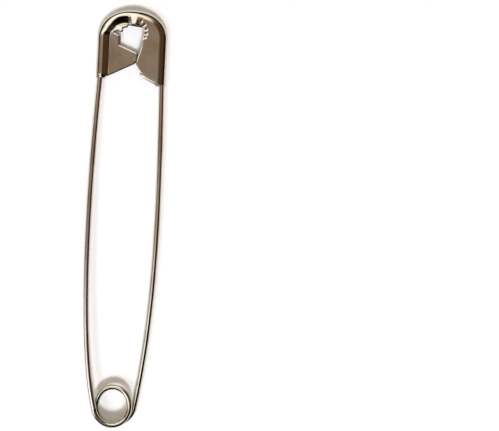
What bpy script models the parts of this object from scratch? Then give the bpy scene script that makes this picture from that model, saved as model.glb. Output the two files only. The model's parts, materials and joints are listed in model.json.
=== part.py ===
"""A large nickel-plated safety pin, closed and lying flat.

It is one bent spring wire and one folded sheet-metal cap. The wire is cut into three nodes where its
behaviour changes: the fixed arm, whose upper end is hooked inside the cap, the coil spring, and the pin arm
with its ground point.

While the pin is drawn, X runs from the fixed arm to the pin arm, Y from the coil to the cap and Z up from the
table, and the coil's centre stands over the origin. The root empty then moves the whole pin until its bounding
box is centred over the origin.
"""

import math

import bmesh
import bpy
import numpy as np
from mathutils import Quaternion, Vector

MM = 0.001

# Overall size and stock
PIN_LENGTH = 104.4 * MM
WIRE_DIAMETER = 1.3 * MM
SHEET = 0.25 * MM

# Coil: an oval eye, wound one and a half turns, whose ends spread out to meet the arms
EYE_WIDTH = 7.1 * MM
EYE_HEIGHT = 8.1 * MM
COIL_GAP = 0.45 * MM
COIL_END_SPREAD = 0.95 * MM
COIL_TURNS = 1.5
COIL_LEAVE = math.radians(10)
POINTS_PER_LOOP = 24

# Arms: the leans and bows are how far each curve's handles stand out from its ends, and the handle shares are
# how far along the arm they lie
CUT_GAP = 0.3 * MM
ARM_POINTS = 40
FIXED_ARM_LOWER_LEAN = 3.6 * MM
FIXED_ARM_UPPER_BOW = 2.1 * MM
FIXED_ARM_HANDLE_SHARES = {"at coil": 0.23, "at cap": 0.33}
PIN_ARM_LOWER_LEAN = 3.3 * MM
PIN_ARM_UPPER_BOW = 3.0 * MM
PIN_ARM_HANDLE_SHARES = {"at coil": 0.23, "at cap": 0.37}
PIN_POINT_LEAN = 0.9 * MM
POINT_TAPER_LENGTH = 9.0 * MM
POINT_DIAMETER = 0.25 * MM
POINT_DEPTH_IN_CAP = 10.2 * MM

# Cap
CAP_WIDTH = 17.1 * MM
CAP_LENGTH = 18.6 * MM
CAP_OFFSET = 0.65 * MM
DOME_RISE = 7.25 * MM
DOME_POWER = 2.15
TUBE_CLEARANCE = 0.25 * MM
CRIMP_CLEARANCE = 0.1 * MM
CRIMP_LENGTH = 2.2 * MM
NOSE_SEAM = 0.15 * MM
NEEDLE_CLEARANCE = 0.3 * MM
GUARD_ROOM = 0.65 * MM
LIP_CLEARANCE = 0.2 * MM
DENT_RADIUS = 0.75 * MM
SHARP_ANGLE = math.radians(35)

# Motion: the pin arm is pressed inwards and lifted over the nose about an axis tilted by this angle
UNCLASP_TILT = math.radians(12)

# Worked out from the sizes above
WIRE_RADIUS = WIRE_DIAMETER / 2
COIL_PITCH = WIRE_DIAMETER + COIL_GAP
EYE_AXES = Vector(((EYE_WIDTH + WIRE_DIAMETER) / 2, (EYE_HEIGHT + WIRE_DIAMETER) / 2))
CAP_TOP = PIN_LENGTH - EYE_AXES.y - WIRE_RADIUS
TUBE_RADIUS = WIRE_RADIUS + TUBE_CLEARANCE + SHEET
CRIMP_RADIUS = WIRE_RADIUS + CRIMP_CLEARANCE + SHEET
NEEDLE_HEIGHT = SHEET + NEEDLE_CLEARANCE + WIRE_RADIUS
GUARD_FRONT = NEEDLE_HEIGHT + WIRE_RADIUS + GUARD_ROOM
GUARD_FOLD_DEPTH = WIRE_RADIUS + NEEDLE_CLEARANCE + SHEET
HALF_WIDTH = CAP_WIDTH / 2
NEEDLE_ACROSS = HALF_WIDTH - SHEET - NEEDLE_CLEARANCE - WIRE_RADIUS

# The cap is drawn in rows, each from its outer edge to its lip. Across is a share of the half width from the
# middle line, and down is a share of the cap's length from the top of the dome. The tube's rows run up the
# fixed arm's side, and their lips draw the nose.
TUBE_ROW_SHARES = (
    # down, lip across
    (0.928, -0.762),
    (0.905, -0.716),
    (0.718, 0.089),
    (0.685, 0.148),
    (0.583, 0.160),
    (0.481, -0.385),
    (0.405, -0.392),
)
# Over the dome, the outer edge is given by its angle in degrees, from 180 on the fixed arm's side.
DOME_ROW_SHARES = (
    # dome angle, lip across, lip down
    (174, -0.396, 0.347),
    (165, -0.652, 0.322),
    (146, -0.527, 0.258),
    (119, -0.325, 0.214),
    (92, -0.012, 0.203),
    (66, 0.280, 0.226),
    (46, 0.345, 0.285),
    (27, 0.338, 0.345),
    (8, 0.320, 0.417),
)
# The guard's rows run down the pin arm's side.
GUARD_ROW_SHARES = (
    # down, lip across
    (0.497, 0.300),
    (0.583, 0.252),
    (0.685, 0.183),
    (0.750, 0.178),
    (0.820, 0.252),
    (0.874, 0.373),
    (0.975, 0.790),
    (1.000, 0.835),
)
# Dome angles between which the rim opens from a closed tube to the guard's two cheeks
RIM_OPENS_DEGREES = (165, 45)
# Three marks where the rim is staked on to the hooked end of the wire, as across and down shares
DENT_SHARES = ((0.255, 0.150), (0.400, 0.262), (0.405, 0.372))
# The hook that ends the wire inside the rim, as across and down shares, and where the wire follows the dome
HOOK_SHARES = ((0.456, 0.372), (0.470, 0.282), (0.425, 0.190), (0.270, 0.118))
WIRE_ON_DOME_DEGREES = (82, 172)
WIRE_ON_DOME_POINTS = 8
IN_CRIMP_SHARE = 0.25

# How finely the cap's sections and rows are stepped
FOLD_STEPS = 5
CURL_STEPS = 4
PLATE_STEPS = 5
STEPS_PER_TUBE_ROW = 2
STEPS_PER_DOME_ROW = 3
STEPS_PER_GUARD_ROW = 2
STEPS_PER_HOOK_POINT = 3


def clear_scene():
    for obj in list(bpy.data.objects):
        bpy.data.objects.remove(obj, do_unlink=True)


def new_collection(name):
    collection = bpy.data.collections.new(name)
    bpy.context.scene.collection.children.link(collection)
    return collection


def nickel(name, colour, roughness):
    """Polished nickel plate: a warm, fully metallic surface."""
    material = bpy.data.materials.new(name)
    material.use_nodes = True
    shader = material.node_tree.nodes["Principled BSDF"]
    shader.inputs["Base Color"].default_value = (*colour, 1.0)
    shader.inputs["Metallic"].default_value = 1.0
    shader.inputs["Roughness"].default_value = roughness
    return material


def new_empty(name, place, collection, parent=None):
    """An empty at a place in its parent's frame."""
    empty = bpy.data.objects.new(name, None)
    empty.empty_display_size = EYE_WIDTH
    empty.parent = parent
    empty.location = place
    collection.objects.link(empty)
    return empty


def parent_in_place(obj, parent):
    """Parents an object without moving it."""
    bpy.context.view_layer.update()
    obj.parent = parent
    obj.matrix_parent_inverse = parent.matrix_world.inverted()


def smooth_through(points, steps):
    """Catmull-Rom curve through the points, with this many steps between neighbours."""
    points = np.asarray(points, float)
    padded = np.vstack([2 * points[0] - points[1], points, 2 * points[-1] - points[-2]])
    found = []
    for before, start, end, after in zip(padded, padded[1:], padded[2:], padded[3:]):
        for t in np.arange(steps) / steps:
            found.append(
                start
                + (end - before) * t / 2
                + (2 * before - 5 * start + 4 * end - after) * t**2 / 2
                + (3 * start - before - 3 * end + after) * t**3 / 2
            )
    return np.array([*found, points[-1]])


def bezier(start, first_handle, second_handle, end, count):
    """Points of a cubic Bezier curve."""
    t = np.linspace(0, 1, count)[:, None]
    handles = np.array([start, first_handle, second_handle, end])
    weights = np.hstack([(1 - t) ** 3, 3 * t * (1 - t) ** 2, 3 * t**2 * (1 - t), t**3])
    return weights @ handles


def coil_centreline(steps_per_loop):
    """The coil's wire from the fixed arm, which meets it in front, round to the pin arm at the back."""
    first = math.pi + COIL_LEAVE
    last = math.pi + 2 * math.pi * COIL_TURNS - COIL_LEAVE
    count = round(steps_per_loop * (last - first) / (2 * math.pi)) + 1
    angle = np.linspace(first, last, count)
    from_end = np.minimum(angle - math.pi, math.pi + 2 * math.pi * COIL_TURNS - angle)
    half_turns = np.clip(from_end / math.pi, 0, 1)
    spread = COIL_END_SPREAD * (1 - half_turns) ** 2 * (1 + 2 * half_turns)
    x = (EYE_AXES.x + spread) * np.cos(angle)
    y = EYE_AXES.y * np.sin(angle)
    z = WIRE_RADIUS + COIL_PITCH * (last - angle) / (2 * math.pi)
    return np.column_stack([x, y, z])


def unit(step):
    return step / np.linalg.norm(step)


def print_least_gap(points):
    """The least gap between stretches of the coil's wire that lie more than half a turn apart along it."""
    steps = np.linalg.norm(np.diff(points, axis=0), axis=1)
    along = np.concatenate([[0], np.cumsum(steps)])
    apart = np.linalg.norm(points[:, None] - points[None], axis=2)
    far_along = np.abs(along[:, None] - along[None]) > math.pi * EYE_AXES.x
    gap = apart[far_along].min() - WIRE_DIAMETER
    print(f"coil_spring: least gap to itself {gap / MM:.2f} mm")


def wire(name, points, bevel_resolution, collection, parent, radius_shares=None):
    """A round wire along the points, as a poly curve with filled ends."""
    curve = bpy.data.curves.new(name, "CURVE")
    curve.dimensions = "3D"
    curve.bevel_depth = WIRE_RADIUS
    curve.bevel_resolution = bevel_resolution
    curve.use_fill_caps = True
    spline = curve.splines.new("POLY")
    spline.points.add(len(points) - 1)
    spline.use_smooth = True
    shares = np.ones(len(points)) if radius_shares is None else radius_shares
    for point, place, share in zip(spline.points, points, shares):
        point.co = (*place, 1.0)
        point.radius = share
    obj = bpy.data.objects.new(name, curve)
    collection.objects.link(obj)
    parent_in_place(obj, parent)
    obj.data.materials.append(nickel(name + "_nickel", (0.66, 0.60, 0.53), 0.16))
    return obj


def cap_point(across, down):
    """A point of the cap in plan, from its distance across the middle line and down from the dome's top."""
    return np.array([CAP_OFFSET + across, CAP_TOP - down])


def cap_point_at_shares(across_share, down_share):
    return cap_point(across_share * HALF_WIDTH, down_share * CAP_LENGTH)


def outer_on_side(side, down):
    """How far across the cap's outer edge lies on a side, also where the dome still narrows it."""
    height = max(0.0, 1 - down / DOME_RISE)
    return side * HALF_WIDTH * (1 - height**DOME_POWER) ** (1 / DOME_POWER)


def outer_on_dome(degrees):
    """(across, down) of the cap's outer edge at a dome angle, on a superellipse."""
    cosine = math.cos(math.radians(degrees))
    sine = abs(math.sin(math.radians(degrees)))
    across = math.copysign(abs(cosine) ** (2 / DOME_POWER), cosine) * HALF_WIDTH
    return across, DOME_RISE * (1 - sine ** (2 / DOME_POWER))


def inside_dome(degrees, inwards):
    """A point in plan at a distance inside the dome's edge, along its normal."""
    here = np.array(outer_on_dome(degrees))
    along = unit(np.array(outer_on_dome(degrees - 1)) - np.array(outer_on_dome(degrees + 1)))
    across, down = here + inwards * np.array([-along[1], along[0]])
    return cap_point(across, down)


def refined(rows, steps):
    """Straight steps between neighbouring rows of numbers."""
    rows = np.asarray(rows, float)
    place = np.linspace(0, len(rows) - 1, (len(rows) - 1) * steps + 1)
    return np.column_stack([np.interp(place, np.arange(len(rows)), column) for column in rows.T])


def cap_rows():
    """Each row's outer point, its lip point and how far the rim has opened, from tube (0) to guard (1)."""
    rows = []
    for down, lip in (TUBE_ROW_SHARES[0], *refined(TUBE_ROW_SHARES[1:], STEPS_PER_TUBE_ROW)):
        outer = cap_point(outer_on_side(-1, down * CAP_LENGTH), down * CAP_LENGTH)
        rows.append((outer, cap_point_at_shares(lip, down), 0.0))
    closed, open_wide = RIM_OPENS_DEGREES
    for degrees, across, down in smooth_through(DOME_ROW_SHARES, STEPS_PER_DOME_ROW):
        opened = np.clip((closed - degrees) / (closed - open_wide), 0, 1)
        rows.append((cap_point(*outer_on_dome(degrees)), cap_point_at_shares(across, down), opened))
    for down, lip in smooth_through(GUARD_ROW_SHARES, STEPS_PER_GUARD_ROW):
        outer = cap_point(outer_on_side(1, down * CAP_LENGTH), down * CAP_LENGTH)
        rows.append((outer, cap_point_at_shares(lip, down), 1.0))
    return rows


def tube_half(length, radius, side):
    """One half of the closed tube's section: the fold, the curl back to the seam and the nose plate, as
    distances in from the outer edge and heights above the table."""
    half = radius - SHEET / 2
    seam = side * (NOSE_SEAM + SHEET) / 2
    fold = np.linspace(0, math.pi / 2, FOLD_STEPS + 1)
    curl = np.linspace(math.pi / 2, math.pi - math.asin(abs(seam) / half), CURL_STEPS + 1)[1:]
    turn = np.concatenate([fold, curl])
    inwards = radius - half * np.cos(turn)
    plate = np.linspace(inwards[-1], max(length, radius + half), PLATE_STEPS + 1)[1:]
    heights = radius + side * half * np.sin(turn)
    return np.column_stack(
        [np.concatenate([inwards, plate]), np.concatenate([heights, np.full(PLATE_STEPS, radius + seam)])]
    )


def cheek_rise(inwards):
    """How far the guard's front cheek rises above its fold at a distance in from the outer edge, so that the
    needle, which lifts as it is pressed inwards, passes under the lip."""
    narrowest = min(across for _, across in GUARD_ROW_SHARES)
    lip = HALF_WIDTH * (1 - narrowest)
    travel = lip - (HALF_WIDTH - NEEDLE_ACROSS)
    needed = LIP_CLEARANCE + math.tan(UNCLASP_TILT) * travel - GUARD_ROOM
    return max(0.0, needed) * max(0.0, inwards - GUARD_FOLD_DEPTH) / (lip - GUARD_FOLD_DEPTH)


def guard_half(length, side):
    """One half of the open guard's section: half of the fold and one cheek."""
    top = GUARD_FRONT + SHEET / 2
    middle = (top + SHEET / 2) / 2
    half = top - middle
    fold = np.linspace(0, math.pi / 2, FOLD_STEPS + 1)
    inwards = GUARD_FOLD_DEPTH - (GUARD_FOLD_DEPTH - SHEET / 2) * np.cos(fold)
    heights = middle + side * half * np.sin(fold)
    cheek = np.linspace(GUARD_FOLD_DEPTH, length, CURL_STEPS + PLATE_STEPS + 1)[1:]
    rises = np.array([cheek_rise(place) if side > 0 else 0.0 for place in cheek])
    return np.column_stack(
        [np.concatenate([inwards, cheek]), np.concatenate([heights, middle + side * half + rises])]
    )


def staked(place, height):
    """The height of the cap's front at a point in plan, pressed down at the marks towards the wire."""
    bottom = TUBE_RADIUS + WIRE_RADIUS + TUBE_CLEARANCE + SHEET / 2
    for shares in DENT_SHARES:
        from_mark = np.linalg.norm(place - cap_point_at_shares(*shares)) / DENT_RADIUS
        height -= max(0.0, height - bottom) * math.exp(-(from_mark**2))
    return height


def cap_section(outer, lip, opened):
    """The sheet's middle surface across one row, from the front lip round the fold to the back lip."""
    length = np.linalg.norm(lip - outer)
    tube_end = CAP_TOP - TUBE_ROW_SHARES[0][0] * CAP_LENGTH
    crimp = max(0.0, 1 - (outer[1] - tube_end) / CRIMP_LENGTH) if opened == 0 else 0.0
    radius = TUBE_RADIUS + (CRIMP_RADIUS - TUBE_RADIUS) * crimp
    halves = []
    for side in (1, -1):
        half = (1 - opened) * tube_half(length, radius, side) + opened * guard_half(length, side)
        plan = outer + half[:, :1] * unit(lip - outer)
        if side > 0:
            half[:, 1] = [staked(place, height) for place, height in zip(plan, half[:, 1])]
        halves.append(np.column_stack([plan, half[:, 1]]))
    front, back = halves
    return np.vstack([front[::-1], back[1:]])


def cap_sheet():
    """The sheet's middle surface, lofted through its rows."""
    grid = np.array([cap_section(*row) for row in cap_rows()])
    rows, columns, _ = grid.shape
    faces = [
        (r * columns + c, (r + 1) * columns + c, (r + 1) * columns + c + 1, r * columns + c + 1)
        for r in range(rows - 1)
        for c in range(columns - 1)
    ]
    mesh = bpy.data.meshes.new("cap")
    mesh.from_pydata(grid.reshape(-1, 3).tolist(), [], faces)
    work = bmesh.new()
    work.from_mesh(mesh)
    bmesh.ops.recalc_face_normals(work, faces=work.faces)
    work.to_mesh(mesh)
    work.free()
    mesh.shade_smooth()
    mesh.set_sharp_from_angle(angle=SHARP_ANGLE)
    return mesh


def make_cap(collection, parent):
    """The folded sheet, given its thickness by Solidify."""
    obj = bpy.data.objects.new("cap", cap_sheet())
    collection.objects.link(obj)
    parent_in_place(obj, parent)
    thickness = obj.modifiers.new("sheet", "SOLIDIFY")
    thickness.thickness = SHEET
    thickness.offset = 0
    thickness.use_even_offset = True
    obj.data.materials.append(nickel("cap_nickel", (0.68, 0.61, 0.53), 0.12))
    return obj


def fixed_arm_points(coil):
    """The wire from its hook inside the rim, round the dome and down the tube and the arm to the coil."""
    hook = [cap_point_at_shares(*shares) for shares in HOOK_SHARES]
    over = [
        inside_dome(degrees, TUBE_RADIUS)
        for degrees in np.linspace(*WIRE_ON_DOME_DEGREES, WIRE_ON_DOME_POINTS)
    ]
    in_tube = cap_point(-HALF_WIDTH + TUBE_RADIUS, DOME_RISE + WIRE_DIAMETER)
    plan = smooth_through([*hook, *over, in_tube], STEPS_PER_HOOK_POINT)
    inside = np.column_stack([plan, np.full(len(plan), TUBE_RADIUS)])

    tube_end = TUBE_ROW_SHARES[0][0] * CAP_LENGTH
    in_crimp = cap_point(-HALF_WIDTH + CRIMP_RADIUS, tube_end - CRIMP_LENGTH * IN_CRIMP_SHARE)
    start = np.array([*in_crimp, CRIMP_RADIUS])
    end = coil[0] + unit(coil[0] - coil[1]) * CUT_GAP
    reach = (start[1] - end[1]) * FIXED_ARM_HANDLE_SHARES["at coil"]
    low_handle = end + np.array([-FIXED_ARM_LOWER_LEAN, reach, 0])
    drop = (end - start) * FIXED_ARM_HANDLE_SHARES["at cap"]
    high_handle = start + np.array([-FIXED_ARM_UPPER_BOW, drop[1], drop[2]])
    return np.vstack([inside, bezier(start, high_handle, low_handle, end, ARM_POINTS)])


def pin_arm_points(coil):
    """The wire from the coil up to the point inside the guard."""
    start = coil[-1] + unit(coil[-1] - coil[-2]) * CUT_GAP
    start[2] = WIRE_RADIUS
    point = cap_point(NEEDLE_ACROSS - PIN_POINT_LEAN, CAP_LENGTH - POINT_DEPTH_IN_CAP)
    end = np.array([*point, NEEDLE_HEIGHT])
    reach = end[1] - start[1]
    low_handle = start + np.array([PIN_ARM_LOWER_LEAN, reach * PIN_ARM_HANDLE_SHARES["at coil"], 0])
    high_handle = end + np.array([PIN_ARM_UPPER_BOW, -reach * PIN_ARM_HANDLE_SHARES["at cap"], 0])
    return bezier(start, low_handle, high_handle, end, ARM_POINTS)


def ground_point_shares(points):
    """The wire's radius along the pin arm, as shares of its full size, ground down to the point."""
    blunt = POINT_DIAMETER / WIRE_DIAMETER
    from_point = np.linalg.norm(points - points[-1], axis=1)
    return blunt + (1 - blunt) * np.clip(from_point / POINT_TAPER_LENGTH, 0, 1)


def centre_on_table(root, pieces):
    """Moves the root until the box round the pieces is centred over the origin and stands on Z = 0."""
    depsgraph = bpy.context.evaluated_depsgraph_get()
    places = []
    for piece in pieces:
        evaluated = piece.evaluated_get(depsgraph)
        places += [evaluated.matrix_world @ vertex.co for vertex in evaluated.to_mesh().vertices]
        evaluated.to_mesh_clear()
    low = np.min(places, axis=0)
    high = np.max(places, axis=0)
    root.location = (-(low[0] + high[0]) / 2, -(low[1] + high[1]) / 2, -low[2])


def main():
    clear_scene()
    collection = new_collection("safety_pin")
    root = new_empty("safety_pin", (0, 0, 0), collection)
    # The pin arm swings out about the coil's own axis, and is unclasped about a tilted one
    swing = new_empty("swing_axis", (0, 0, WIRE_RADIUS), collection, root)
    unclasp = new_empty("unclasp_axis", (0, 0, 0), collection, swing)
    unclasp.rotation_mode = "QUATERNION"
    unclasp.rotation_quaternion = Quaternion((0, 1, 0), UNCLASP_TILT)

    coil = coil_centreline(POINTS_PER_LOOP)
    print_least_gap(coil_centreline(POINTS_PER_LOOP * 4))
    arm = pin_arm_points(coil)
    pieces = [
        make_cap(collection, root),
        wire("fixed_arm", fixed_arm_points(coil), 2, collection, root),
        wire("coil_spring", coil, 1, collection, swing),
        wire("pin_arm", arm, 2, collection, unclasp, ground_point_shares(arm)),
    ]
    centre_on_table(root, pieces)


main()
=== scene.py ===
"""The looks of a large nickel-plated safety pin, closed and lying on its back on a pale table.

The pin is one bent spring wire and one folded sheet-metal cap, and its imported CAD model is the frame.
Every shape is laid out in millimetres from the coil's centre on the table: X runs from the fixed arm to
the pin arm, Y from the coil to the cap and Z up from the table. A shape is put into metres of the row
frame when its mesh is made.
"""

import json
import logging
import math
from dataclasses import dataclass, field
from enum import Enum
from typing import Any, Sequence

import bpy
import numpy as np
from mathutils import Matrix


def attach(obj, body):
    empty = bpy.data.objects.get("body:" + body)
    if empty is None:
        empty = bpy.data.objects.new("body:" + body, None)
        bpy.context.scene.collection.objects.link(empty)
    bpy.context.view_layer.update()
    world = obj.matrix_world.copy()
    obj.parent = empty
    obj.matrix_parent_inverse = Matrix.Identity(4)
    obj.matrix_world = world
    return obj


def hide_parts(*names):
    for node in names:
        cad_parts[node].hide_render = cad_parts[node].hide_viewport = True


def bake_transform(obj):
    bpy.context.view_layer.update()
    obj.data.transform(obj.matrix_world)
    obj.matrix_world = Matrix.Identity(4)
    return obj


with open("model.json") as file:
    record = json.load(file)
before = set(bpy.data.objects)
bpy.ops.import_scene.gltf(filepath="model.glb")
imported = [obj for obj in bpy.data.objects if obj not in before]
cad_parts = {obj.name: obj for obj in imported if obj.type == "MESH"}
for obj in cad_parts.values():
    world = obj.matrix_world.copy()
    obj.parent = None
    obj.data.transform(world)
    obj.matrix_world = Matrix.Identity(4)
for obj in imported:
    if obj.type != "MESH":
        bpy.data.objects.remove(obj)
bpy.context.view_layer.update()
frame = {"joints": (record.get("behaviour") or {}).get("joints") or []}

log = logging.getLogger("safety_pin")

Array = np.ndarray
Pair = tuple[float, float]
Triple = tuple[float, float, float]

MM = 0.001
WIRE_RADIUS = 0.65
SHEET = 0.25
# Folds sharper than this are shaded as edges
SHARP_DEGREES = 60
# Noise spans about half of 0 to 1
NOISE_SPAN = 0.5
# The Mix node's colour sockets, and its colour output
SHARE, FIRST, SECOND, RESULT = 0, 6, 7, 2
WHITE = (1.0, 1.0, 1.0, 1.0)


class Body(Enum):
    """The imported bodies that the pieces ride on."""

    FRAME = "frame"
    COIL = "coil"
    PIN_ARM = "pin_arm"


class Slot(Enum):
    """The record's material slots."""

    CAP = "cap_nickel"
    WIRE = "wire_nickel"


class Pattern(Enum):
    """What a finish's marks follow: the piece's own UV map, or the whole piece in all directions."""

    DRAWN = "along the wire"
    ROLLED = "all over the sheet"


# --- Curves and surfaces ---


def unit(vectors: Array) -> Array:
    """Each vector divided by its own length."""
    return vectors / np.maximum(np.linalg.norm(vectors, axis=-1, keepdims=True), 1e-12)


def smoothstep(value: Array, start: float, end: float) -> Array:
    """3t^2 - 2t^3 for t from 0 at start to 1 at end, whichever is larger, and level outside them."""
    t = np.clip((np.asarray(value, float) - start) / (end - start), 0, 1)
    return t * t * (3 - 2 * t)


def smooth_through(points: Array, steps: int) -> Array:
    """Catmull-Rom curve through the points.

    Between two neighbours the curve is a cubic in t whose slopes at them are half the step between the
    points on either side of each.

    Args:
        points: one row of numbers for each point.
        steps: steps between two neighbours.

    Returns:
        The rows of the curve, the last point included.
    """
    points = np.asarray(points, float)
    padded = np.vstack([2 * points[0] - points[1], points, 2 * points[-1] - points[-2]])
    before, start, end, after = (padded[k : len(padded) - 3 + k, None] for k in range(4))
    t = (np.arange(steps) / steps)[None, :, None]
    curve = (
        start
        + (end - before) * t / 2
        + (2 * before - 5 * start + 4 * end - after) * t**2 / 2
        + (3 * start - before - 3 * end + after) * t**3 / 2
    )
    return np.vstack([curve.reshape(-1, points.shape[1]), points[-1:]])


def bezier(handles: Array, count: int) -> Array:
    """The cubic Bezier curve of four handles, weighted by the Bernstein polynomials of t.

    Args:
        handles: the curve's ends, with its two inner handles between them.
        count: points along it.

    Returns:
        The points.
    """
    t = np.linspace(0, 1, count)[:, None]
    weights = np.hstack([(1 - t) ** 3, 3 * t * (1 - t) ** 2, 3 * t**2 * (1 - t), t**3])
    return weights @ np.asarray(handles, float)


def length_along(points: Array) -> Array:
    """The distance of each point along its polyline from the first."""
    return np.concatenate([[0], np.cumsum(np.linalg.norm(np.diff(points, axis=0), axis=1))])


def evenly_spaced(points: Array, spacing: float) -> Array:
    """The same polyline in even steps.

    Args:
        points: its points.
        spacing: about how far apart the new points lie along it.

    Returns:
        The new points.
    """
    along = length_along(points)
    places = np.linspace(0, along[-1], max(2, round(along[-1] / spacing) + 1))
    return np.column_stack([np.interp(places, along, column) for column in points.T])


@dataclass
class Surface:
    """A closed skin: vertices in millimetres, faces, and one UV pair, in metres, for each face corner."""

    vertices: Array
    faces: list[list[int]]
    corner_uv: Array
    # For each vertex of a sheet, 1 on its cut edge and 0 on its faces
    cut_edge: Array | None = None


def quads(rows: int, columns: int, wrap: bool) -> tuple[Array, Array, Array]:
    """The quads of a grid, wound so that row direction x column direction points out of them.

    Args:
        rows: rows of the grid.
        columns: columns of the grid.
        wrap: whether the last column joins the first.

    Returns:
        For each corner of each quad its vertex, its row and its column, which counts on past a joined
        seam.
    """
    across = columns if wrap else columns - 1
    row, column = np.meshgrid(np.arange(rows - 1), np.arange(across), indexing="ij")
    row, column = row.reshape(-1, 1), column.reshape(-1, 1)
    corner_row = row + np.array([[0, 1, 1, 0]])
    corner_column = column + np.array([[0, 0, 1, 1]])
    return corner_row * columns + corner_column % columns, corner_row, corner_column


def round_wire(
    path: Array, radii: Array | float, free_start: bool, free_end: bool, around: int = 28
) -> Surface:
    """A circle carried along a path, with its seam underneath.

    At each point the circle stands square to the path: its first axis is tangent x Z and its second is the
    first x tangent. A free end is closed by a half ball, whose rings lie at sin(a) of the radius beyond the
    end and have cos(a) of it, and an end that meets the next piece of the same wire is closed flat.

    Args:
        path: points of the centreline.
        radii: the wire's radius, or its radius at each point.
        free_start: whether the first end is free.
        free_end: whether the last end is free.
        around: vertices in each ring.

    Returns:
        The wire's skin, with U along the wire and V round it.
    """
    radii = np.broadcast_to(radii, len(path))
    tangent = unit(np.gradient(path, axis=0))
    ball = np.radians(np.linspace(0, 90, num=6))[1:-1]

    def half_ball(end: int, way: float) -> tuple[Array, Array, Array]:
        """The rings of the half ball at one end, from the end outwards.

        Args:
            end: the end's index in the path.
            way: -1 at the first end and 1 at the last.

        Returns:
            Their centres, radii and tangents.
        """
        beyond = way * radii[end] * np.sin(ball)[:, None] * tangent[end]
        return path[end] + beyond, radii[end] * np.cos(ball), np.tile(tangent[end], (len(ball), 1))

    parts = [(path, radii, tangent)]
    if free_start:
        parts.insert(0, tuple(part[::-1] for part in half_ball(0, -1.0)))
    if free_end:
        parts.append(half_ball(-1, 1.0))
    centres, ring_radii, tangents = (np.concatenate([part[k] for part in parts]) for k in range(3))
    first_pole = path[0] - tangent[0] * radii[0] * free_start
    last_pole = path[-1] + tangent[-1] * radii[-1] * free_end

    side = unit(np.cross(tangents, [0.0, 0.0, 1.0]))
    up = np.cross(side, tangents)
    turn = np.linspace(-math.pi / 2, 1.5 * math.pi, around, endpoint=False)
    circle = side[:, None] * np.cos(turn)[None, :, None] + up[:, None] * np.sin(turn)[None, :, None]
    grid = centres[:, None] + circle * ring_radii[:, None, None]
    rings = len(grid)
    vertices = np.vstack([grid.reshape(-1, 3), first_pole, last_pole])

    corners, corner_row, corner_column = quads(rings, around, wrap=True)
    along = length_along(centres) * MM
    girth = 2 * math.pi * WIRE_RADIUS * MM / around
    quad_uv = np.stack([along[corner_row], corner_column * girth], axis=-1).reshape(-1, 2)
    ring = np.arange(around)
    following = (ring + 1) % around
    last = (rings - 1) * around
    first_fan = np.column_stack([np.full(around, rings * around), ring, following])
    last_fan = np.column_stack([np.full(around, rings * around + 1), last + following, last + ring])
    fan_uv = np.repeat([[along[0], 0.0], [along[-1], 0.0]], 3 * around, axis=0)
    faces = corners.tolist() + first_fan.tolist() + last_fan.tolist()
    return Surface(vertices, faces, np.vstack([quad_uv, fan_uv]))


def thick_sheet(middle: Array, thickness: float, edge_steps: int = 3) -> Surface:
    """A sheet on both sides of its middle surface, with round edges.

    The two faces are middle +- normal * thickness / 2. Past each border the middle runs on square to the
    border by sin(a) * thickness / 2, while the half thickness shrinks with cos(a) to nothing, where both
    faces share their vertices.

    Args:
        middle: points (rows, columns, 3) of the middle surface, whose row x column direction points out.
        thickness: the sheet's thickness.
        edge_steps: steps round each half of an edge.

    Returns:
        The closed skin, with U along the rows' direction and V across them.
    """
    rows, columns, _ = middle.shape
    along, across = np.gradient(middle, axis=0), np.gradient(middle, axis=1)
    normal = unit(np.cross(along, across))
    row_way = unit(along - unit(across) * np.sum(along * unit(across), axis=-1, keepdims=True))
    column_way = unit(across - unit(along) * np.sum(across * unit(along), axis=-1, keepdims=True))

    rise = np.radians(np.linspace(0, 90, edge_steps + 1))[1:]

    def run_on(count: int) -> tuple[Array, Array, Array]:
        """The skin's lines in one direction of the grid, with those round the two borders.

        Args:
            count: the middle surface's lines in that direction.

        Returns:
            For each line, the one of the middle surface that it starts from, and sin(a) and cos(a) there.
        """
        place = np.clip(np.arange(-edge_steps, count + edge_steps), 0, count - 1)
        turn = np.concatenate([-rise[::-1], np.zeros(count), rise])
        return place, np.sin(turn), np.maximum(np.cos(turn), 0.0)

    row, row_out, row_thin = run_on(rows)
    column, column_out, column_thin = run_on(columns)
    pick = np.ix_(row, column)
    half = thickness / 2
    centre = (
        middle[pick]
        + row_way[pick] * half * row_out[:, None, None]
        + column_way[pick] * half * column_out[None, :, None]
    )
    thin = row_thin[:, None] * column_thin[None, :]
    lift = normal[pick] * half * thin[..., None]
    tall, wide = thin.shape
    number = np.arange(tall * wide).reshape(tall, wide)
    shared = np.zeros((tall, wide), bool)
    shared[[0, -1], :] = shared[:, [0, -1]] = True
    under = np.where(shared, number, tall * wide + np.cumsum(~shared).reshape(tall, wide) - 1)
    vertices = np.vstack([(centre + lift).reshape(-1, 3), (centre - lift)[~shared]])

    corners, corner_row, corner_column = quads(tall, wide, wrap=False)
    beneath = under.reshape(-1)[corners][:, ::-1]
    u = np.cumsum(np.r_[0, np.linalg.norm(np.diff(centre, axis=0), axis=-1).mean(axis=1)]) * MM
    v = np.cumsum(np.r_[0, np.linalg.norm(np.diff(centre, axis=1), axis=-1).mean(axis=0)]) * MM
    uv = np.stack([u[corner_row], v[corner_column]], axis=-1)
    corner_uv = np.vstack([uv.reshape(-1, 2), uv[:, ::-1].reshape(-1, 2)])
    edge = 1 - thin
    cut_edge = np.concatenate([edge.reshape(-1), edge[~shared]])
    return Surface(vertices, corners.tolist() + beneath.tolist(), corner_uv, cut_edge)


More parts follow.
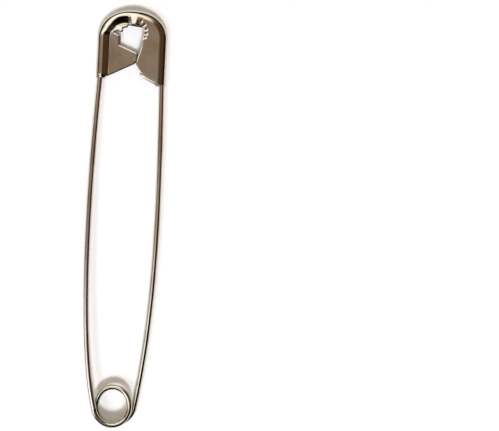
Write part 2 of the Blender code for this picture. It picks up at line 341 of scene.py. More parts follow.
@dataclass(frozen=True)
class PinFrame:
    """The frame in which the pin is laid out, as its origin in metres of the row frame."""

    origin: Triple

    @classmethod
    def at_joint(cls, joints: Sequence[dict], name: str) -> "PinFrame":
        """Takes the origin from the joint through the coil's centre, one wire radius above the table.

        Args:
            joints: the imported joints.
            name: the joint's name.

        Returns:
            The pin's frame.
        """
        x, y, z = next(joint["pos_m"] for joint in joints if joint["name"] == name)
        return cls((x, y, z - WIRE_RADIUS * MM))

    def place(self, points: Array) -> Array:
        """Points in millimetres of the pin's frame, in metres of the row frame."""
        return np.asarray(points, float) * MM + np.array(self.origin)

    def piece(self, name: str, surface: Surface, material: bpy.types.Material) -> bpy.types.Object:
        """Makes a surface a smooth-shaded object, whose place is in its mesh.

        Args:
            name: the piece's name.
            surface: its skin.
            material: its finish.

        Returns:
            The object, linked to the scene.
        """
        mesh = bpy.data.meshes.new(name)
        mesh.from_pydata(self.place(surface.vertices).tolist(), [], surface.faces)
        mesh.uv_layers.new(name="UVMap").data.foreach_set("uv", surface.corner_uv.reshape(-1))
        if surface.cut_edge is not None:
            edge = mesh.attributes.new("cut_edge", "FLOAT", "POINT")
            edge.data.foreach_set("value", surface.cut_edge.astype(np.float32))
        mesh.shade_smooth()
        mesh.set_sharp_from_angle(angle=math.radians(SHARP_DEGREES))
        mesh.materials.append(material)
        obj = bpy.data.objects.new(name, mesh)
        bpy.context.scene.collection.objects.link(obj)
        return obj


# --- Finishes ---


def linear(colour: str, strength: float = 1.0) -> tuple[float, float, float, float]:
    """An sRGB hex colour as linear RGBA, by the sRGB curve.

    Args:
        colour: six hex digits.
        strength: what the linear colour is multiplied by.

    Returns:
        Red, green, blue and an alpha of 1.
    """
    encoded = np.array([int(colour[k : k + 2], 16) for k in (0, 2, 4)]) / 255
    plain = np.where(encoded <= 0.04045, encoded / 12.92, ((encoded + 0.055) / 1.055) ** 2.4)
    red, green, blue = (plain * strength).tolist()
    return (red, green, blue, 1.0)


def add_node(
    tree: bpy.types.NodeTree, kind: str, sockets: dict[Any, Any] | None = None, **settings: str
) -> bpy.types.Node:
    """Adds a shader node with its settings and links.

    Args:
        tree: the node tree.
        kind: the node's type, without ShaderNode before it.
        sockets: for each input, by name or number, its value or the output that is linked to it.
        settings: properties of the node.

    Returns:
        The new node.
    """
    made = tree.nodes.new("ShaderNode" + kind)
    for name, value in settings.items():
        setattr(made, name, value)
    for name, value in (sockets or {}).items():
        if isinstance(value, bpy.types.NodeSocket):
            tree.links.new(value, made.inputs[name])
        else:
            made.inputs[name].default_value = value
    return made


@dataclass(frozen=True)
class NickelPlate:
    """Bright nickel plate on steel: a warm grey metal that mirrors the room, with fine marks in it.

    The plate is a few hundredths of a millimetre thick, so it keeps what was made before it: drawing
    lines along the wire, and the slow waviness that folding leaves in the sheet. Tumbling gives it fine
    scratches, and air a slight yellow tarnish. Nickel reflects about 0.66, 0.61, 0.53.
    """

    name: str
    pattern: Pattern
    colour: str = "D4CDC0"
    tarnish: str = "C4B79F"
    cut: str = "A69C8E"
    roughness: float = 0.08
    scratched_roughness: float = 0.2
    wave_mm: float = 3.0
    wave_height_mm: float = 0.006
    mark_mm: float = 0.12
    mark_height_mm: float = 0.0015
    mark_stretch: float = 60.0
    scratch_spread: float = 8.0
    scratch_noise: Pair = (0.35, 0.8)
    tarnish_mm: float = 6.0
    tarnish_noise: Pair = (0.45, 0.7)

    def material(self) -> bpy.types.Material:
        """The plate as a Principled material whose marks come from noise at the sizes above.

        Returns:
            The material.
        """
        material = bpy.data.materials.new(self.name)
        material.use_nodes = True
        tree = material.node_tree
        tree.nodes.clear()
        coordinates = add_node(tree, "TexCoord")
        at = coordinates.outputs["Object"]
        # One unit of a pattern is one of its features, so coordinates in metres are divided by its size
        scale = 1 / (self.tarnish_mm * MM)
        tarnish = add_node(tree, "TexNoise", {"Vector": at, "Scale": scale, "Detail": 4.0}).outputs["Fac"]
        low, high = self.tarnish_noise
        tarnished = add_node(tree, "MapRange", {"Value": tarnish, "From Min": low, "From Max": high})
        scale = 1 / (self.wave_mm * MM)
        wave = add_node(tree, "TexNoise", {"Vector": at, "Scale": scale, "Detail": 1.0, "Roughness": 0.3})
        marks = self.marks(tree, coordinates)
        colour: Any = linear(self.colour)
        layers = [(tarnished.outputs["Result"], self.tarnish)]
        if self.pattern is Pattern.ROLLED:
            layers.append((add_node(tree, "Attribute", attribute_name="cut_edge").outputs["Fac"], self.cut))
        for share, layer in layers:
            sockets = {SHARE: share, FIRST: colour, SECOND: linear(layer)}
            colour = add_node(tree, "Mix", sockets, data_type="RGBA").outputs[RESULT]
        low, high = self.scratch_noise
        sockets = {"Value": marks, "From Min": low, "From Max": high}
        sockets |= {"To Min": self.roughness, "To Max": self.scratched_roughness}
        roughness = add_node(tree, "MapRange", sockets).outputs["Result"]
        normal: Any = None
        for bumps, rise in ((wave.outputs["Fac"], self.wave_height_mm), (marks, self.mark_height_mm)):
            sockets = {"Height": bumps, "Distance": rise * MM / NOISE_SPAN, "Strength": 1.0}
            if normal is not None:
                sockets["Normal"] = normal
            normal = add_node(tree, "Bump", sockets).outputs["Normal"]
        sockets = {"Base Color": colour, "Metallic": 1.0, "Roughness": roughness, "Normal": normal}
        shader = add_node(tree, "BsdfPrincipled", sockets)
        add_node(tree, "OutputMaterial", {"Surface": shader.outputs["BSDF"]})
        return material

    def marks(self, tree: bpy.types.NodeTree, coordinates: bpy.types.Node) -> bpy.types.NodeSocket:
        """The fine marks: drawing lines that are mark_stretch times as long as wide, or scratches.

        Real ones are 0.01 to 0.03 mm wide. They are drawn as wide as mark_mm or more, so that they show.

        Args:
            tree: the material's nodes.
            coordinates: the Texture Coordinate node.

        Returns:
            The marks' strength, about 0.2 to 0.8.
        """
        if self.pattern is Pattern.DRAWN:
            across = 1 / (self.mark_mm * MM)
            scale = (across / self.mark_stretch, across, 1.0)
            drawn = add_node(tree, "Mapping", {"Vector": coordinates.outputs["UV"], "Scale": scale})
            sockets = {"Vector": drawn.outputs["Vector"], "Scale": 1.0, "Detail": 3.0}
        else:
            scale = 1 / (self.mark_mm * self.scratch_spread * MM)
            sockets = {"Vector": coordinates.outputs["Object"], "Scale": scale, "Detail": 6.0}
            sockets |= {"Roughness": 0.6, "Distortion": 1.5}
        return add_node(tree, "TexNoise", sockets).outputs["Fac"]


# --- Spring wire ---


@dataclass
class Coil:
    """The oval eye that the wire is wound into, one and a half turns, from the front down to the table."""

    half_width: float = 4.2
    half_height: float = 4.7
    fixed_end_spread: float = 0.4
    pin_end_spread: float = 1.0
    pitch: float = 1.66
    turns: float = 1.5
    leave_degrees: float = 10.0
    # Two heights of the coil's axis for a blend as the pin arm swings, which build() only places in the row
    # frame
    blend_heights: Pair = (2.5, 1.35)

    def centreline(self, count: int = 300) -> Array:
        """The wire's centreline from the fixed arm round to the pin arm.

        An ellipse whose half width grows by the end's spread towards each end over half a turn, as
        (1 - t)^2 (1 + 2t), and whose height falls evenly by the pitch in each turn.

        Args:
            count: points along it.

        Returns:
            The points.
        """
        leave = math.radians(self.leave_degrees)
        first, last = math.pi + leave, math.pi + 2 * math.pi * self.turns - leave
        angle = np.linspace(first, last, count)
        from_end = np.minimum(angle - math.pi, math.pi + 2 * math.pi * self.turns - angle)
        half_turns = np.clip(from_end / math.pi, 0, 1)
        middle = (first + last) / 2
        end_spread = np.where(angle < middle, self.fixed_end_spread, self.pin_end_spread)
        spread = end_spread * (1 - half_turns) ** 2 * (1 + 2 * half_turns)
        x = (self.half_width + spread) * np.cos(angle)
        z = WIRE_RADIUS + self.pitch * (last - angle) / (2 * math.pi)
        return np.column_stack([x, self.half_height * np.sin(angle), z])


@dataclass
class SpringWire:
    """The spring wire: the fixed arm with its hook in the cap, the coil, and the pin arm with its point."""

    pin: PinFrame
    finish: NickelPlate
    cap: "FoldedCap"
    coil: Coil = field(default_factory=Coil)
    spacing: float = 0.3
    plated_radius: float = 0.68
    fixed_lower_lean: float = 4.0
    fixed_upper_bow: float = 2.0
    fixed_handle_shares: Pair = (0.17, 0.42)
    fixed_start_up_tube: float = 0.55
    pin_lower_lean: float = 4.4
    pin_upper_bow: float = 1.2
    pin_handle_shares: Pair = (0.28, 0.46)
    point: Triple = (8.2, 90.65, 1.1)
    point_taper: float = 9.0
    point_radius: float = 0.1
    taper_power: float = 1.25
    hook: tuple[Pair, ...] = ((4.55, 92.13), (4.67, 93.8), (4.28, 95.52), (2.96, 96.86))
    on_dome_degrees: Pair = (82.0, 172.0)
    below_dome: float = 1.3
    bend_length: float = 15.0

    def fixed_arm_path(self) -> Array:
        """The fixed arm: a smooth curve from its hook round the dome, then a Bezier curve to the coil.

        Returns:
            The points of its centreline.
        """
        cap = self.cap
        over = cap.inside_dome(np.linspace(*self.on_dome_degrees, num=8), cap.tube_radius)
        left = cap.middle - cap.half_width
        in_tube = (left + cap.tube_radius, cap.top - cap.dome_rise - self.below_dome)
        plan = smooth_through(np.vstack([self.hook, over, in_tube]), steps=12)
        inside = np.column_stack([plan, np.full(len(plan), cap.tube_radius)])
        start_y = cap.top - cap.tube_end + self.fixed_start_up_tube
        start = np.array([left + cap.crimp_radius, start_y, cap.crimp_radius])
        end = self.coil.centreline()[0]
        reach = (start[1] - end[1]) * self.fixed_handle_shares[0]
        drop = (end - start) * self.fixed_handle_shares[1]
        upper = start + [-self.fixed_upper_bow, drop[1], drop[2]]
        lower = end + [-self.fixed_lower_lean, reach, 0]
        arm = bezier([start, upper, lower, end], count=300)
        return evenly_spaced(np.vstack([inside, arm]), self.spacing)

    def pin_arm_path(self) -> Array:
        """The pin arm from the coil up to its point inside the guard, as one Bezier curve.

        Returns:
            The points of its centreline.
        """
        start, end = self.coil.centreline()[-1], np.array(self.point)
        reach = end[1] - start[1]
        lower = start + [self.pin_lower_lean, reach * self.pin_handle_shares[0], 0]
        upper = end + [self.pin_upper_bow, -reach * self.pin_handle_shares[1], 0]
        return evenly_spaced(bezier([start, lower, upper, end], count=400), self.spacing)

    def pin_arm_radii(self, path: Array) -> Array:
        """The pin arm's radius along its path, ground down to the point with a slightly hollow taper.

        Over the taper the radius grows as 1 - (1 - t)^taper_power.

        Args:
            path: its centreline.

        Returns:
            The wire's radius at each point.
        """
        share = np.clip(np.linalg.norm(path - path[-1], axis=1) / self.point_taper, 0, 1)
        grown = 1 - (1 - share) ** self.taper_power
        return self.point_radius + (self.plated_radius - self.point_radius) * grown

    def build(self) -> list[bpy.types.Object]:
        """Makes the three wires and joins the fixed arm to the frame.

        Returns:
            The fixed arm, the coil and the pin arm.
        """
        nickel = self.finish.material()
        pin_path = self.pin_arm_path()
        made = [
            self.pin.piece(name, round_wire(path, radii, free_start, free_end), nickel)
            for name, path, radii, free_start, free_end in (
                ("fixed_arm_wire", self.fixed_arm_path(), self.plated_radius, True, False),
                ("coil_wire", self.coil.centreline(), self.plated_radius, False, False),
                ("pin_arm_wire", pin_path, self.pin_arm_radii(pin_path), False, True),
            )
        ]
        fixed_arm, coil, pin_arm = made
        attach(fixed_arm, Body.FRAME.value)
        # The coil's axis at its two blend heights, put into the row frame; the coil itself is not blended
        front, back = self.pin.place([[0, 0, height] for height in self.coil.blend_heights])
        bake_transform(coil)
        root = pin_path[0]
        bent = root + unit(pin_path[round(self.bend_length / self.spacing)] - root) * self.bend_length
        root, bent = self.pin.place([root, bent])
        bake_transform(pin_arm)
        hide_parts("fixed_arm")
        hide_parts("coil_spring")
        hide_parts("pin_arm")
        return made


# --- Folded cap ---


@dataclass(frozen=True)
class StakeMark:
    """An oval hollow where the sheet is staked on to the wire, its long axis at degrees from X."""

    at: Pair
    degrees: float
    length: float = 0.38
    width: float = 0.25
    depth: float = 0.17


@dataclass
class CapRows:
    """What belongs to each row of the cap's grid: its places in plan, its sizes, and shares of 0 to 1."""

    outer: Array
    inwards: Array
    reach: Array
    back_reach: Array
    radius: Array
    fold_in: Array
    front_top: Array
    centre: Array
    lip_sine: Array
    slope_end: Array
    cheek_slope: Array
    # The shares: of the rim's form, the open guard, the front cheek, the flange, and the guard's end
    over_rim: Array
    opened: Array
    cheek: Array
    flanged: Array
    guard_end: Array


@dataclass
class FoldedCap:
    """The cap: one sheet folded over the wire, whose front and back halves end in lips.

    It is a rolled tube and a flat nose on the fixed arm's side, a rim over the dome, and two cheeks that
    guard the point on the pin arm's side. Each row of its grid runs from the front lip out to the fold and
    back in to the back lip. A pair of degrees says where on the dome a form begins and is complete.
    """

    pin: PinFrame
    finish: NickelPlate
    middle: float = 0.67
    half_width: float = 8.75
    top: float = 99.1
    length: float = 18.6
    dome_rise: float = 7.25
    dome_power: float = 2.15
    tube_end: float = 17.26
    tube_radius: float = 1.15
    crimp_radius: float = 1.08
    crimp_length: float = 0.9
    seam: float = 0.2
    rim_seam: float = 0.16
    flare: float = 0.08
    flare_length: float = 0.5
    tube_slope_power: float = 1.15
    rim_slope_power: float = 1.2
    front_fold_power: float = 1.8
    back_fold_power: float = 2.6
    tube_crest_beyond: float = 0.3
    rim_crests_in: tuple[Pair, ...] = ((122, 1.6), (145, 2.2), (168, 2.2), (178, 1.6))
    fold_columns: int = 15
    flat_columns: int = 38
    crowding_power: float = 1.5
    guard_front: float = 2.55
    fold_depth: float = 2.5
    widest_share: float = 0.38
    cheek_rise_degrees: float = 5.0
    lip_rise_degrees: float = 9.0
    # The cheek takes the place of the slope, rises, and its fold deepens
    cheek_degrees: Pair = (101.0, 92.0)
    raised_degrees: Pair = (112.0, 80.0)
    deepened_degrees: Pair = (108.0, 60.0)
    rim_degrees: Pair = (178.0, 160.0)
    opens_at_degrees: float = 165.0
    opens_over_degrees: float = 81.0
    # Where the rim's slope turns into the cheek, the sheet is lifted towards its lip
    lip_lifts_degrees: Pair = (106.0, 97.0)
    lip_sinks_degrees: Pair = (84.0, 75.0)
    rim_slope_ends: tuple[Pair, ...] = ((92, 3.8), (105, 3.5), (135, 3.05), (150, 3.0), (178, 2.9))
    least_slope: float = 0.05
    least_lip_sine: float = 0.25
    flange_degrees: float = 24.0
    flanged_degrees: Pair = (165.0, 158.0)
    groove_width: float = 0.25
    groove_depth: float = 0.035
    roll_width: float = 0.27
    roll_depth: float = 0.09
    back_lip_beyond: float = 0.42
    back_lip_raised: float = 0.14
    back_shows_over: float = 3.4
    back_shows_within: float = 1.0
    # Behind the nose, between these places of its lip along Y, the back reaches a little farther
    nose_back_beyond: float = 0.3
    nose_back_begins: Pair = (90.0, 90.4)
    nose_back_ends: Pair = (92.4, 92.8)
    stakes: tuple[StakeMark, ...] = (
        StakeMark((2.9, 96.1), 75.0), StakeMark((3.7, 95.15), 50.0), StakeMark((4.1, 94.0), 20.0),
        StakeMark((4.15, 92.95), 5.0), StakeMark((3.85, 92.0), 0.0),
    )
    spacing: float = 0.165
    # Down from the dome's top, and the lip's place, for rows of the nose
    nose_rows: tuple[Triple, ...] = (
        (17.26, -5.87, 81.79), (16.83, -5.47, 82.22), (13.35, 1.41, 85.70), (12.74, 1.92, 86.31),
        (10.84, 2.02, 88.21), (8.95, -2.64, 90.10), (7.90, -2.70, 91.20),
    )
    # The dome's angle, and the lip's place, for rows of the rim
    rim_rows: tuple[Triple, ...] = (
        (176, -2.74, 91.90), (172, -2.83, 92.50), (163, -3.95, 93.25), (152, -3.40, 93.85),
        (139, -2.10, 93.60), (129, -1.95, 94.55), (118, -0.95, 94.80), (110, -0.70, 95.30),
        (92, 0.55, 95.27), (66, 3.04, 94.85), (46, 3.60, 93.75), (27, 3.54, 92.63), (8, 3.39, 91.29),
    )
    # Down from the dome's top, and the lip's place, for rows of the guard
    guard_rows: tuple[Triple, ...] = (
        (9.24, 3.22, 89.81), (10.84, 2.80, 88.21), (12.74, 2.21, 86.31), (13.95, 2.17, 85.10),
        (15.25, 2.80, 83.80), (16.26, 3.84, 82.79), (18.14, 7.40, 80.91), (18.60, 7.79, 80.45),
    )

    def dome(self, degrees: Array) -> Array:
        """The outer edge at dome angles, as a superellipse of power dome_power.

        Args:
            degrees: the angles, 180 on the fixed arm's side and 0 on the pin arm's.

        Returns:
            The points in plan.
        """
        turn = np.radians(np.asarray(degrees, float))
        cosine, sine = np.cos(turn), np.abs(np.sin(turn))
        across = np.sign(cosine) * np.abs(cosine) ** (2 / self.dome_power) * self.half_width
        down = self.dome_rise * (1 - sine ** (2 / self.dome_power))
        return np.stack([self.middle + across, self.top - down], axis=-1)

    def inside_dome(self, degrees: Array, inwards: float) -> Array:
        """Points inside the dome's edge, square to it.

        Args:
            degrees: the dome's angles.
            inwards: the distance inside the edge.

        Returns:
            The points in plan.
        """
        along = unit(self.dome(degrees - 1.0) - self.dome(degrees + 1.0))
        return self.dome(degrees) + inwards * np.stack([along[..., 1], -along[..., 0]], axis=-1)

    def outer_edge(self) -> tuple[Array, Array, Array]:
        """The outer edge from the tube's end over the dome to the guard's end.

        Returns:
            Its points, each one's distance along it, and each one's dome angle: 180 below the dome on the
            fixed arm's side and 0 below it on the pin arm's side.
        """
        left, right = self.middle - self.half_width, self.middle + self.half_width
        up = np.linspace(self.tube_end, self.dome_rise, num=60)[:-1]
        turn = np.linspace(180, 0, num=721)
        down = np.linspace(self.dome_rise, self.length, num=60)[1:]
        tube = np.column_stack([np.full(len(up), left), self.top - up])
        guard = np.column_stack([np.full(len(down), right), self.top - down])
        points = np.vstack([tube, self.dome(turn), guard])
        degrees = np.concatenate([np.full(len(up), 180.0), turn, np.zeros(len(down))])
        return points, length_along(points), degrees

    def rows(self) -> tuple[Array, Array, Array, Array]:
        """The rows of the grid, evenly spaced along the outer edge and the lip together.

        The nose's lip runs straight between its rows, and the rim's and the guard's lip is a smooth curve.

        Returns:
            For each row its outer point, its lip point, its distance along the edge and its dome angle.
        """
        edge, along, degrees = self.outer_edge()
        nose, rim, guard = (np.array(rows) for rows in (self.nose_rows, self.rim_rows, self.guard_rows))
        nose[:, 0] = self.tube_end - nose[:, 0]
        rim[:, 0] = np.interp(-rim[:, 0], -degrees, along)
        guard[:, 0] = along[-1] - (self.length - guard[:, 0])
        # The nose's straight lines run on to the rim's first row, so the two lips meet in a corner
        curved = smooth_through(np.vstack([rim, guard]), steps=24)
        table = evenly_spaced(np.vstack([nose, curved]), self.spacing)
        # The die leaves no sharp corners, so two passes of 1/4, 1/2, 1/4 round those of the lip
        for _ in range(2):
            table[1:-1, 1:] = table[:-2, 1:] / 4 + table[1:-1, 1:] / 2 + table[2:, 1:] / 4
        outer = np.column_stack([np.interp(table[:, 0], along, column) for column in edge.T])
        return outer, table[:, 1:], table[:, 0], np.interp(table[:, 0], along, degrees)

    def columns(self, reach: Array, fold_in: Array, power: float) -> tuple[Array, Array]:
        """Where the columns of one half lie: evenly round the fold, then closer together towards the lip.

        The fold's columns are a quarter of a superellipse, whose distances in and heights go as
        cos^(2 / power) and sin^(2 / power) of an even turn. The rest of the way in, the others are at
        1 - (1 - t)^crowding_power.

        Args:
            reach: each row's length from the outer edge to the lip.
            fold_in: each row's distance in from the outer edge to the top of its fold.
            power: the superellipse's power, 2 for an ellipse and more for a squarer fold.

        Returns:
            Each column's distance in from the outer edge, and its share of the fold's height.
        """
        turn = np.linspace(0, math.pi / 2, self.fold_columns)
        round_in = fold_in[:, None] - (fold_in - SHEET / 2)[:, None] * np.cos(turn) ** (2 / power)
        t = 1 - (1 - np.linspace(0, 1, self.flat_columns + 1)[1:]) ** self.crowding_power
        flat_in = fold_in[:, None] + (reach - fold_in)[:, None] * t
        share = np.concatenate([np.sin(turn) ** (2 / power), np.ones(self.flat_columns)])
        return np.hstack([round_in, flat_in]), share

    def staked(self, front: Array) -> Array:
        """The front half with its stake marks.

        Each is an oval hollow that fades from its middle as exp(-(distance / radius)^2).

        Args:
            front: (rows, columns, 3) points of the front half.

        Returns:
            The same points, pressed down at the marks.
        """
        pressed = front.copy()
        for mark in self.stakes:
            away = pressed[..., :2] - np.array(mark.at)
            turn = math.radians(mark.degrees)
            long = away @ np.array([math.cos(turn), math.sin(turn)]) / mark.length
            short = away @ np.array([-math.sin(turn), math.cos(turn)]) / mark.width
            pressed[..., 2] -= mark.depth * np.exp(-(long**2 + short**2))
        return pressed

    def grid_rows(self) -> CapRows:
        """Works out what belongs to each row from its place along the outer edge.

        The fold is as wide as the tube and then as the rim's crest, and deepens over the guard. Its front
        top lies over the tube and sinks evenly to the guard's, and from there the cheek is one plane that
        rises evenly away from the guard's straight fold.

        Returns:
            The rows.
        """
        outer, lip, along, degrees = self.rows()
        inwards = unit(lip - outer)
        over_rim = smoothstep(degrees, *self.rim_degrees)
        opened = np.clip((self.opens_at_degrees - degrees) / self.opens_over_degrees, 0, 1)
        crimped = np.clip(1 - along / self.crimp_length, 0, 1)
        flared = np.clip(1 - along / self.flare_length, 0, 1) ** 2 * self.flare
        radius = self.tube_radius + (self.crimp_radius - self.tube_radius) * crimped + flared
        tube_crest_in = radius + self.tube_crest_beyond
        rim_crest_in = np.interp(degrees, *zip(*self.rim_crests_in))
        crest_in = tube_crest_in + (rim_crest_in - tube_crest_in) * over_rim
        fold_in = crest_in + (self.fold_depth - crest_in) * smoothstep(degrees, *self.deepened_degrees)
        front_top = (2 * radius - SHEET / 2) * (1 - opened) + self.guard_front * opened
        rise = math.tan(math.radians(self.cheek_rise_degrees))
        crest_x = outer[:, 0] + inwards[:, 0] * fold_in
        from_guard = self.middle + self.half_width - self.fold_depth - crest_x
        front_top = front_top + smoothstep(degrees, *self.raised_degrees) * from_guard * rise
        # A round tube is widest at half its height, and the rim and the guard lower down
        widest = 0.5 * (1 - over_rim) + self.widest_share * over_rim
        # The lip is oblique to its row, so distances from it are shortened by the sine between them
        lip_way = unit(np.gradient(lip, axis=0))
        lip_sine = np.abs(lip_way[:, 0] * inwards[:, 1] - lip_way[:, 1] * inwards[:, 0])
        lip_sine = np.maximum(lip_sine, self.least_lip_sine)
        back_shows = along[-1] - self.back_shows_over
        guard_end = smoothstep(along, back_shows, back_shows + self.back_shows_within)
        nose_top = smoothstep(lip[:, 1], *self.nose_back_begins) * (degrees > 90)
        nose_top = nose_top * (1 - smoothstep(lip[:, 1], *self.nose_back_ends))
        lifted = smoothstep(degrees, *self.lip_lifts_degrees)
        lifted = lifted * (1 - smoothstep(degrees, *self.lip_sinks_degrees))
        lip_rise = lifted * math.tan(math.radians(self.lip_rise_degrees))
        back_beyond = self.back_lip_beyond * guard_end + self.nose_back_beyond * nose_top
        reach = np.linalg.norm(lip - outer, axis=1)
        return CapRows(
            outer=outer,
            inwards=inwards,
            reach=reach,
            back_reach=reach + back_beyond / lip_sine,
            radius=radius,
            fold_in=fold_in,
            front_top=front_top,
            centre=SHEET / 2 + (front_top - SHEET / 2) * widest,
            lip_sine=lip_sine,
            slope_end=np.interp(degrees, *zip(*self.rim_slope_ends)),
            cheek_slope=lip_rise * -inwards[:, 1] - inwards[:, 0] * rise,
            over_rim=over_rim,
            opened=opened,
            cheek=smoothstep(degrees, *self.cheek_degrees),
            flanged=smoothstep(degrees, *self.flanged_degrees),
            guard_end=guard_end,
        )

    def half(self, rows: CapRows, side: int) -> Array:
        """The middle surface of one half, from the outer edge in to the lip.

        The sheet rises round the fold, and on the tube and the rim it then falls as t^power to the height
        of the nose plate. The front turns up again as a flange in the eye, has a groove where it meets the
        plate, and goes over into the cheek on the guard. The back stays flat there, and reaches past the
        front at the guard's end. Both lips turn away by roll_depth * (1 - distance / roll_width)^2.

        Args:
            rows: what belongs to each row.
            side: 1 for the front and -1 for the back.

        Returns:
            (rows, columns, 3) points.
        """
        front = side > 0
        length = rows.reach if front else rows.back_reach
        fold_power = self.front_fold_power if front else self.back_fold_power
        place, share = self.columns(length, rows.fold_in, fold_power)
        top = rows.front_top if front else np.full(len(length), SHEET / 2)
        height = rows.centre[:, None] + (top - rows.centre)[:, None] * share
        past = np.maximum(0, place - rows.fold_in[:, None])
        on_tube = 1 - rows.over_rim
        seam = self.seam * on_tube + self.rim_seam * rows.over_rim
        slope_end = np.minimum(rows.slope_end, length)
        slope_power = self.tube_slope_power * on_tube + self.rim_slope_power * rows.over_rim
        t = np.clip(past / np.maximum(slope_end - rows.fold_in, self.least_slope)[:, None], 0, 1)
        slope = (rows.radius + side * seam - top)[:, None] * t ** slope_power[:, None]
        from_lip = (length[:, None] - place) * rows.lip_sine[:, None]
        rolled = self.roll_depth * np.clip(1 - from_lip / self.roll_width, 0, 1) ** 2
        if front:
            turned_up = np.maximum(0, place - slope_end[:, None])
            groove = np.clip(1 - turned_up / self.groove_width, 0, 1) ** 2 * (t >= 1)
            flange = turned_up * math.tan(math.radians(self.flange_degrees))
            slope = slope + rows.flanged[:, None] * flange - on_tube[:, None] * self.groove_depth * groove
            cheek = past * rows.cheek_slope[:, None]
            height = height + (1 - rows.cheek)[:, None] * slope + rows.cheek[:, None] * cheek - rolled
        else:
            level = np.clip(from_lip / self.back_lip_beyond, 0, 1) * rows.guard_end[:, None]
            height = height + (1 - rows.opened)[:, None] * slope + rolled * (1 - rows.guard_end)[:, None]
            height = height + self.back_lip_raised * level * (past > 0)
        plan = rows.outer[:, None] + place[..., None] * rows.inwards[:, None]
        return np.concatenate([plan, height[..., None]], axis=-1)

    def middle_surface(self) -> Array:
        """The sheet's middle surface.

        Returns:
            (rows, columns, 3) points, in rows round the cap and columns from front lip to back lip.
        """
        rows = self.grid_rows()
        front, back = self.staked(self.half(rows, 1)), self.half(rows, -1)
        return np.concatenate([front[:, ::-1], back[:, 1:]], axis=1)

    def build(self) -> bpy.types.Object:
        """Makes the cap and puts it on the frame.

        Returns:
            The cap's sheet.
        """
        skin = thick_sheet(self.middle_surface(), SHEET)
        sheet = self.pin.piece("cap_sheet", skin, self.finish.material())
        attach(sheet, Body.FRAME.value)
        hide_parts("cap")
        return sheet


# --- Studio ---


@dataclass(frozen=True)
class SkyPatch:
    """A soft-edged round patch of the studio in the nickel's mirror: a softbox if pale, a dark flag if not.

    Its centre's azimuth runs from +X to +Y, its edge fades over softness on either side of its half width,
    and all these are in degrees.
    """

    azimuth: float
    off_zenith: float
    half_width: float
    colour: str
    softness: float = 5.0
    strength: float = 1.0

    def direction(self) -> Triple:
        """The unit vector towards the patch's centre."""
        turn, tilt = math.radians(self.azimuth), math.radians(self.off_zenith)
        return (math.sin(tilt) * math.cos(turn), math.sin(tilt) * math.sin(turn), math.cos(tilt))


@dataclass(frozen=True)
class KeyLight:
    """A lamp that gives the shadows, far off and size_degrees wide, its azimuth the same as a patch's."""

    name: str
    off_zenith: float
    azimuth: float
    energy: float = 1.5
    colour: Triple = (0.94, 1.0, 1.1)
    size_degrees: float = 13.0

    def build(self) -> None:
        """Hangs the lamp, which the nickel doesn't mirror."""
        lamp = bpy.data.lights.new(self.name, "SUN")
        lamp.energy = self.energy
        lamp.color = self.colour
        lamp.angle = math.radians(self.size_degrees)
        key = bpy.data.objects.new(self.name, lamp)
        key.rotation_euler = (0, math.radians(self.off_zenith), math.radians(self.azimuth))
        key.visible_glossy = False
        bpy.context.scene.collection.objects.link(key)


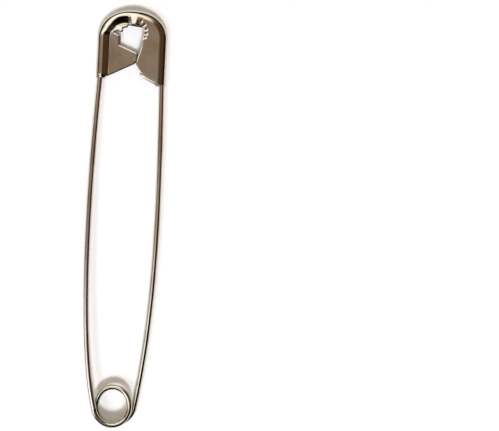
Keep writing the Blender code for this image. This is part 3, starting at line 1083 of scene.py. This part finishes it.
@dataclass
class Studio:
    """A pale table under two lamps, and the brown-grey room with dark corners that the nickel mirrors."""

    camera_at: Pair = (0.03169, 0.00215)
    camera_height: float = 0.26
    camera_turn_degrees: float = 2.63
    view_width: float = 0.12547
    room: str = "A08E81"
    # Each covers those before it, and the last is the dark all round below the horizon
    patches: tuple[SkyPatch, ...] = (
        SkyPatch(230, 60, 37, "F4F7FC", 7.0, 2.0),
        SkyPatch(236, 31, 21, "F4F7FC", 8.0, 2.0),
        SkyPatch(300, 90, 80, "0B0807", 4.0),
        SkyPatch(28, 47, 25, "5A4430", 8.0),
        SkyPatch(0, 90, 32, "1E130C", 6.0),
        SkyPatch(300, 27, 4, "625E68", 4.0),
        SkyPatch(122, 43, 24, "F7F7F2", 4.0, 1.7),
        SkyPatch(95, 43, 20, "F7F7F2", 5.0, 1.7),
        SkyPatch(0, 180, 113.5, "1E1712", 3.5),
    )
    ambient: Triple = (0.385, 0.325, 0.26)
    keys: tuple[KeyLight, ...] = (
        KeyLight("key_right", 40.0, 282.0, 2.3),
        KeyLight("key_left", 47.0, 240.0, 0.7),
    )
    floor_size: float = 3.0
    floor_colour: str = "F4F2F0"
    floor_lift: float = 0.1
    mirror_lift: float = 0.1

    def build_world(self) -> None:
        """The room: white behind the pin, even light on the table, and the patches in the mirror."""
        world = bpy.data.worlds.new("studio")
        bpy.context.scene.world = world
        world.use_nodes = True
        tree = world.node_tree
        tree.nodes.clear()
        towards = add_node(tree, "TexCoord").outputs["Generated"]
        seen: Any = linear(self.room)
        for patch in self.patches:
            sockets = {0: towards, 1: patch.direction()}
            nearness = add_node(tree, "VectorMath", sockets, operation="DOT_PRODUCT")
            outer = math.cos(math.radians(min(180.0, patch.half_width + patch.softness)))
            inner = math.cos(math.radians(max(0.0, patch.half_width - patch.softness)))
            sockets = {"Value": nearness.outputs["Value"], "From Min": outer, "From Max": inner}
            inside = add_node(tree, "MapRange", sockets, interpolation_type="SMOOTHSTEP").outputs["Result"]
            sockets = {SHARE: inside, FIRST: seen, SECOND: linear(patch.colour, patch.strength)}
            seen = add_node(tree, "Mix", sockets, data_type="RGBA").outputs[RESULT]
        path = add_node(tree, "LightPath").outputs
        lit, mirrored, white = (
            add_node(tree, "Background", {"Color": colour, "Strength": 1.0}).outputs[0]
            for colour in ((*self.ambient, 1.0), seen, WHITE)
        )
        not_seen = add_node(tree, "MixShader", {0: path["Is Glossy Ray"], 1: lit, 2: mirrored}).outputs[0]
        whole = add_node(tree, "MixShader", {0: path["Is Camera Ray"], 1: not_seen, 2: white})
        add_node(tree, "OutputWorld", {"Surface": whole.outputs[0]})

    def build_floor(self) -> None:
        """The table: matt white paper that keeps the pin's shadow and shows white elsewhere."""
        half = self.floor_size / 2
        mesh = bpy.data.meshes.new("table")
        corners = np.array([[-half, -half, 0], [half, -half, 0], [half, half, 0], [-half, half, 0]])
        mesh.from_pydata(corners.tolist(), [], [[0, 1, 2, 3]])
        paper = bpy.data.materials.new("white_paper")
        paper.use_nodes = True
        tree = paper.node_tree
        tree.nodes.clear()
        path = add_node(tree, "LightPath").outputs
        camera, glossy = path["Is Camera Ray"], path["Is Glossy Ray"]
        mirrored = add_node(tree, "Math", {0: glossy, 1: self.mirror_lift}, operation="MULTIPLY").outputs[0]
        seen = add_node(tree, "Math", {0: camera, 1: mirrored}, operation="MAXIMUM").outputs[0]
        lift = add_node(tree, "Math", {0: seen, 1: self.floor_lift}, operation="MULTIPLY").outputs[0]
        sockets = {"Base Color": linear(self.floor_colour), "Roughness": 0.9, "Specular IOR Level": 0.0}
        sockets |= {"Emission Color": WHITE, "Emission Strength": lift}
        shader = add_node(tree, "BsdfPrincipled", sockets)
        add_node(tree, "OutputMaterial", {"Surface": shader.outputs["BSDF"]})
        mesh.materials.append(paper)
        floor = bpy.data.objects.new("table", mesh)
        bpy.context.scene.collection.objects.link(floor)

    def build_camera(self) -> None:
        """The camera, straight above the table, with the pin in the left part of its view."""
        lens = bpy.data.cameras.new("camera")
        lens.lens = lens.sensor_width * self.camera_height / self.view_width
        lens.clip_start = 0.01
        camera = bpy.data.objects.new("camera", lens)
        camera.location = (*self.camera_at, self.camera_height)
        camera.rotation_euler = (0, 0, math.radians(self.camera_turn_degrees))
        bpy.context.scene.collection.objects.link(camera)
        bpy.context.scene.camera = camera

    def build(self) -> None:
        """Makes the world, the table, the lamps and the camera."""
        self.build_world()
        self.build_floor()
        for key in self.keys:
            key.build()
        self.build_camera()
        bpy.context.scene.view_settings.view_transform = "Standard"


def report(piece: bpy.types.Object) -> None:
    """Logs a piece's faces and its box in millimetres.

    Args:
        piece: the piece.
    """
    places = np.empty(len(piece.data.vertices) * 3)
    piece.data.vertices.foreach_get("co", places)
    places = places.reshape(-1, 3) / MM
    low, high = places.min(axis=0).round(2), places.max(axis=0).round(2)
    log.info("%s: %d faces, from %s to %s mm", piece.name, len(piece.data.polygons), low, high)


def main() -> None:
    """Builds the studio and the pin."""
    logging.basicConfig(level=logging.INFO, format="%(name)s: %(message)s")
    Studio().build()
    pin = PinFrame.at_joint(frame["joints"], "pin_arm_swing")
    cap = FoldedCap(pin, NickelPlate("bright_nickel_sheet", Pattern.ROLLED))
    drawn = NickelPlate("bright_nickel_wire", Pattern.DRAWN, roughness=0.07, scratched_roughness=0.16)
    wire = SpringWire(pin, drawn, cap)
    for piece in (cap.build(), *wire.build()):
        report(piece)


if __name__ == "__main__":
    main()
